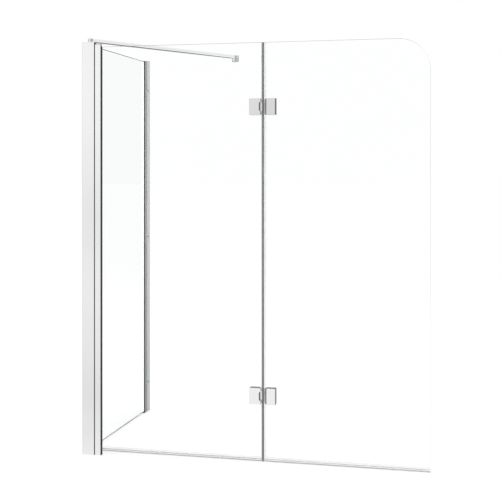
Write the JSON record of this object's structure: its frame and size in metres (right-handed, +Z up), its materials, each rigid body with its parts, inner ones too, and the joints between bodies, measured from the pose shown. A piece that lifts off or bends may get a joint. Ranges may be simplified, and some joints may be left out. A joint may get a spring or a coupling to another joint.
{
  "type": "folding bath screen",
  "caption": "Clear glass folding bath screen with a bright corner post, a glass return panel fixed to the wall and a diagonal stabiliser bar across the top.",
  "frame": {"origin": "the foot of the corner post on the bath rim, where the centre planes of the front glass and the side glass cross", "axes": "+Z up, +X right along the front glass seen from outside the bath, +Y along the side glass to the wall"},
  "size_m": [1.164, 0.712, 1.416],
  "materials": {
    "satin_aluminium": "bright polished",
    "cap_metal": "satin",
    "chrome": "polished",
    "steel": "bright",
    "clear_glass": "clear, polished edges",
    "gasket": "matt dark grey",
    "clear_seal": "clear flexible",
    "grey_seal": "smoke grey flexible",
    "nylon": "white nylon",
    "block": "dark grey"
  },
  "bodies": {
    "wall_side": {"wall_profile": "satin_aluminium", "wall_profile_cap": "cap_metal"},
    "corner_frame": {"side_adjust_profile": "satin_aluminium", "side_adjust_cap": "cap_metal", "side_wall_gaskets": "gasket", "side_adjust_screws": "steel", "side_glass": "clear_glass", "side_post_gaskets": "gasket", "side_glass_blocks": "block", "corner_post": "satin_aluminium", "post_cap": "cap_metal", "post_cap_screws": "steel", "post_mouth_seals": "gasket", "bar_post_pivot": "steel"},
    "fixed_leaf": {"front_adjust_profile": "satin_aluminium", "front_adjust_cap": "block", "front_gaskets": "gasket", "front_glass_block": "block", "front_adjust_screws": "steel", "fixed_glass": "clear_glass", "fixed_drip_seal": "clear_seal", "upper_fixed_outer_plate": "chrome", "upper_fixed_inner_plate": "chrome", "lower_fixed_outer_plate": "chrome", "lower_fixed_inner_plate": "chrome", "fixed_hinge_pads": "gasket", "fixed_hinge_sleeves": "nylon", "fixed_hinge_screws": "steel", "upper_hinge_pin": "steel", "lower_hinge_pin": "steel"},
    "folding_leaf": {"folding_glass": "clear_glass", "folding_drip_seal": "clear_seal", "fold_seal": "grey_seal", "upper_folding_outer_plate": "chrome", "upper_folding_inner_plate": "chrome", "lower_folding_outer_plate": "chrome", "lower_folding_inner_plate": "chrome", "folding_hinge_pads": "gasket", "folding_hinge_sleeves": "nylon", "folding_hinge_screws": "steel", "hinge_bushes": "nylon"},
    "stabiliser_bar": {"bar_tube": "chrome", "bar_post_barrel": "chrome", "bar_wall_barrel": "chrome", "bar_grub_screws": "steel"},
    "bar_bracket": {"wall_bracket": "chrome", "bar_wall_pivot": "steel"}
  },
  "joints": [
    {"name": "side_adjust", "type": "slide", "parent": "wall_side", "child": "corner_frame", "axis": [0, 1, 0], "range_m": [-0.008, 0.008]},
    {"name": "front_adjust", "type": "slide", "parent": "corner_frame", "child": "fixed_leaf", "axis": [1, 0, 0], "range_m": [-0.008, 0.008]},
    {"name": "leaf_fold", "type": "hinge", "parent": "fixed_leaf", "child": "folding_leaf", "pos_m": [0.616, 0.017, 0], "axis": [0, 0, 1], "range_deg": [0, 180]},
    {"name": "bar_swivel", "type": "hinge", "parent": "corner_frame", "child": "stabiliser_bar", "pos_m": [0.0136, 0.0136, 1.4], "axis": [0, 0, 1], "range_deg": [-45, 25]},
    {"name": "bracket_swivel", "type": "hinge", "parent": "stabiliser_bar", "child": "bar_bracket", "pos_m": [0.362, 0.683, 1.4], "axis": [0, 0, 1], "range_deg": [-25, 45]}
  ],
  "couplings": [
    {"joint": "bracket_swivel", "follows": "bar_swivel", "ratio": -1}
  ]
}
